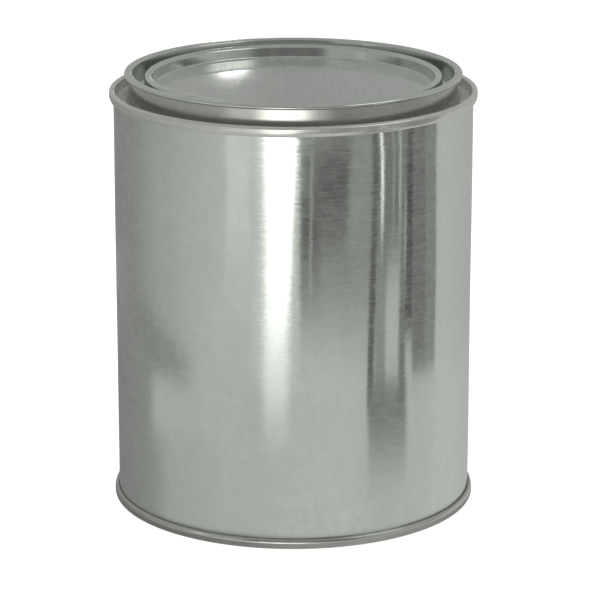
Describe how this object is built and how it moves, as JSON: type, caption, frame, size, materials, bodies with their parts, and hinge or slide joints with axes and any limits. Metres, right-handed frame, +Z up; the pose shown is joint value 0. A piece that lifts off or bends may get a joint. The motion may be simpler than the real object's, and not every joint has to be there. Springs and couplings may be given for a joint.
{
  "type": "paint can",
  "caption": "Round bare-metal paint can with seamed ends, a raised collar and a press-in plug lid that lifts out.",
  "frame": {"origin": "centre of the foot, on the plane the can stands on", "axes": "+Z up along the can's axis towards the lid; the side weld faces +Y"},
  "size_m": [0.1106, 0.1106, 0.1323],
  "materials": {
    "tinplate_body": "bright tinplate with a fine rolled grain",
    "tinplate_base": "bright tinplate",
    "tinplate_ring": "bright tinplate",
    "tinplate_lid": "bright tinplate",
    "seam_compound": "matt",
    "stripe_lacquer": "baked lacquer film"
  },
  "bodies": {
    "can": {"body_shell": "tinplate_body", "weld_stripe": "stripe_lacquer", "base_end": "tinplate_base", "base_seam_seal": "seam_compound", "top_ring": "tinplate_ring", "top_seam_seal": "seam_compound"},
    "lid": {"plug_lid": "tinplate_lid"}
  },
  "joints": [
    {"name": "lid_lift", "type": "slide", "parent": "can", "child": "lid", "axis": [0, 0, 1], "range_m": [0, 0.06]}
  ]
}
